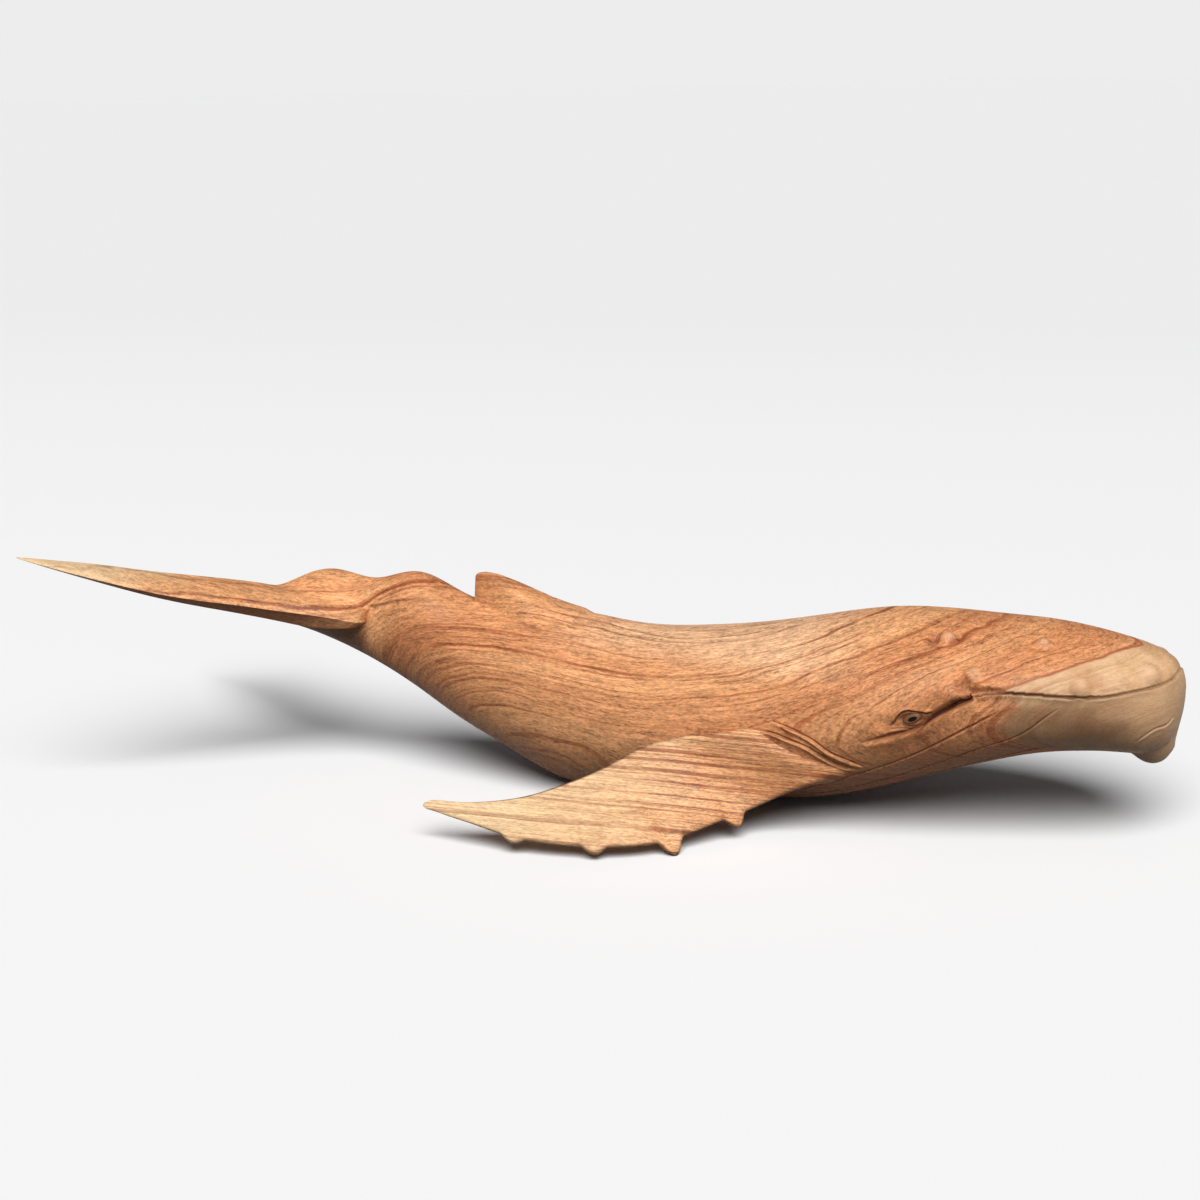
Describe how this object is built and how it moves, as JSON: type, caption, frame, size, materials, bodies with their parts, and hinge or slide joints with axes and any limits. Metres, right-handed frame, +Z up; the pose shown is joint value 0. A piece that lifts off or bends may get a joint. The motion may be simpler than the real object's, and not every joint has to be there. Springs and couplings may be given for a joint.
{
  "type": "carved wooden whale figurine",
  "caption": "Carved and oiled hardwood humpback whale figurine that lies on its belly, with swept flippers, throat pleats, inlaid eyes and a rolled tail fluke",
  "frame": {"origin": "middle of the flat that the belly rests on", "axes": "+X runs from the tail to the head, +Y to the whale's left side, +Z up"},
  "size_m": [0.3952, 0.1732, 0.0843],
  "materials": {
    "body_wood": "oiled hardwood, satin, with visible growth layers and open pores",
    "fin_wood": "the same oiled hardwood, from a paler board",
    "eye_inlay": "pale close-grained wood, polished flush",
    "pupil": "black resin, polished",
    "dowel_wood": "plain birch dowel, unfinished"
  },
  "bodies": {
    "root": {"body": "body_wood", "right_flipper": "fin_wood", "left_flipper": "fin_wood", "tail_fluke": "fin_wood", "right_eye": "eye_inlay", "left_eye": "eye_inlay", "right_pupil": "pupil", "left_pupil": "pupil", "right_flipper_front_dowel": "dowel_wood", "right_flipper_rear_dowel": "dowel_wood", "left_flipper_front_dowel": "dowel_wood", "left_flipper_rear_dowel": "dowel_wood", "fluke_lower_dowel": "dowel_wood", "fluke_upper_dowel": "dowel_wood"}
  },
  "joints": []
}
